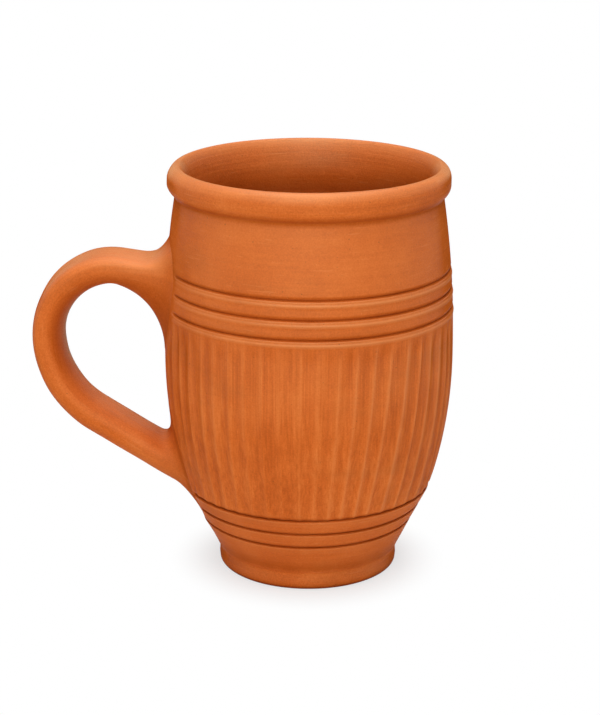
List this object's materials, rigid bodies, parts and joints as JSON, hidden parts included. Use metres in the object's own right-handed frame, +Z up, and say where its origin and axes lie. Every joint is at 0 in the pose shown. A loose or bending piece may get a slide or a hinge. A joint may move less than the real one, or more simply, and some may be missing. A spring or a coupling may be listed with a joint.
{
  "type": "clay cup with handle",
  "caption": "Barrel-shaped unglazed clay cup with a rolled rim, turned grooves, a fluted belly, a narrow foot and a looped strap handle.",
  "frame": {"origin": "on the cup's axis, at the flat face it rests on", "axes": "+Z up along the cup's axis, the handle along -X, Y from side to side"},
  "size_m": [0.1119, 0.077, 0.11],
  "materials": {
    "terracotta": "matte unglazed fired clay",
    "smoothed_clay": "unglazed fired clay, smoothed by hand",
    "slip_clay": "matte fired slip"
  },
  "bodies": {
    "root": {"cup_wall": "terracotta", "rim_bead": "smoothed_clay", "floor_disc": "terracotta", "foot_ring": "terracotta", "handle": "smoothed_clay", "upper_slip": "slip_clay", "lower_slip": "slip_clay"}
  },
  "joints": []
}
